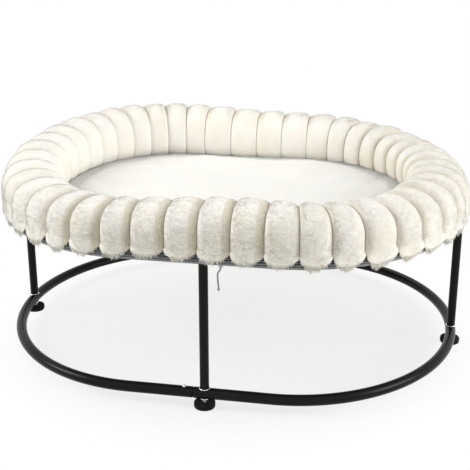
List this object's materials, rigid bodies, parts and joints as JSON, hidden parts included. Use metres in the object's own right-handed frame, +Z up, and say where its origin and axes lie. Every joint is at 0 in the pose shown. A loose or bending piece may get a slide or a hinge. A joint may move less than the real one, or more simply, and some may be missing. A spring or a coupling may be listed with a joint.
{
  "type": "elevated cat bed",
  "caption": "Oval raised pet bed: bent-tube frame on levelling feet, canvas sling, channel-tufted plush bolster and crowned plush pad.",
  "frame": {"origin": "on the floor, under the middle of the bed", "axes": "+X along the long way of the oval, +Z up, front towards -Y"},
  "size_m": [0.7304, 0.5826, 0.319],
  "materials": {
    "powder_black": "satin black powder coat",
    "zinc": "bright zinc plate",
    "foot_black": "matte black moulded plastic",
    "spring_steel": "plain spring steel",
    "canvas_grey": "grey heather woven canvas",
    "zip_black": "black woven zip tape",
    "cord_grey": "twisted grey cord",
    "plush_cream": "short cream plush pile",
    "plush_white": "short white plush pile"
  },
  "bodies": {
    "frame_and_cover": {"base_tube_left": "powder_black", "top_tube_left": "powder_black", "base_tube_right": "powder_black", "top_tube_right": "powder_black", "base_spigot_front": "powder_black", "top_spigot_front": "powder_black", "button_spring_front": "spring_steel", "base_spigot_back": "powder_black", "top_spigot_back": "powder_black", "button_spring_back": "spring_steel", "leg_tube_left": "powder_black", "leg_insert_lower_left": "zinc", "leg_insert_upper_left": "zinc", "top_screw_left": "zinc", "foot_lock_nut_left": "zinc", "leg_tube_front": "powder_black", "leg_insert_lower_front": "zinc", "leg_insert_upper_front": "zinc", "top_screw_front": "zinc", "foot_lock_nut_front": "zinc", "leg_tube_right": "powder_black", "leg_insert_lower_right": "zinc", "leg_insert_upper_right": "zinc", "top_screw_right": "zinc", "foot_lock_nut_right": "zinc", "leg_tube_back": "powder_black", "leg_insert_lower_back": "zinc", "leg_insert_upper_back": "zinc", "top_screw_back": "zinc", "foot_lock_nut_back": "zinc", "canvas_sling": "canvas_grey", "zip_tape": "zip_black", "bolster": "plush_cream", "seat_pad": "plush_white"},
    "foot_left": {"foot_disc_left": "foot_black", "foot_stud_left": "zinc"},
    "foot_front": {"foot_disc_front": "foot_black", "foot_stud_front": "zinc"},
    "foot_right": {"foot_disc_right": "foot_black", "foot_stud_right": "zinc"},
    "foot_back": {"foot_disc_back": "foot_black", "foot_stud_back": "zinc"},
    "button_front": {"spring_button_front": "zinc"},
    "button_back": {"spring_button_back": "zinc"},
    "zip_pull": {"zip_slider": "spring_steel", "zip_pull_cord": "cord_grey", "zip_pull_knot": "cord_grey"}
  },
  "joints": [
    {"name": "foot_screw_left", "type": "slide", "parent": "frame_and_cover", "child": "foot_left", "axis": [0, 0, 1], "range_m": [-0.006, 0]},
    {"name": "foot_screw_front", "type": "slide", "parent": "frame_and_cover", "child": "foot_front", "axis": [0, 0, 1], "range_m": [-0.006, 0]},
    {"name": "foot_screw_right", "type": "slide", "parent": "frame_and_cover", "child": "foot_right", "axis": [0, 0, 1], "range_m": [-0.006, 0]},
    {"name": "foot_screw_back", "type": "slide", "parent": "frame_and_cover", "child": "foot_back", "axis": [0, 0, 1], "range_m": [-0.006, 0]},
    {"name": "button_press_front", "type": "slide", "parent": "frame_and_cover", "child": "button_front", "axis": [0, 0, 1], "range_m": [-0.0026, 0], "stiffness_N_per_m": 2500, "springref_m": 0.001, "deforming": ["button_spring_front"]},
    {"name": "button_press_back", "type": "slide", "parent": "frame_and_cover", "child": "button_back", "axis": [0, 0, 1], "range_m": [-0.0026, 0], "stiffness_N_per_m": 2500, "springref_m": 0.001, "deforming": ["button_spring_back"]},
    {"name": "zip_pull_slide", "type": "slide", "parent": "frame_and_cover", "child": "zip_pull", "axis": [1, 0, 0], "range_m": [-0.1285, 0.0615]}
  ]
}
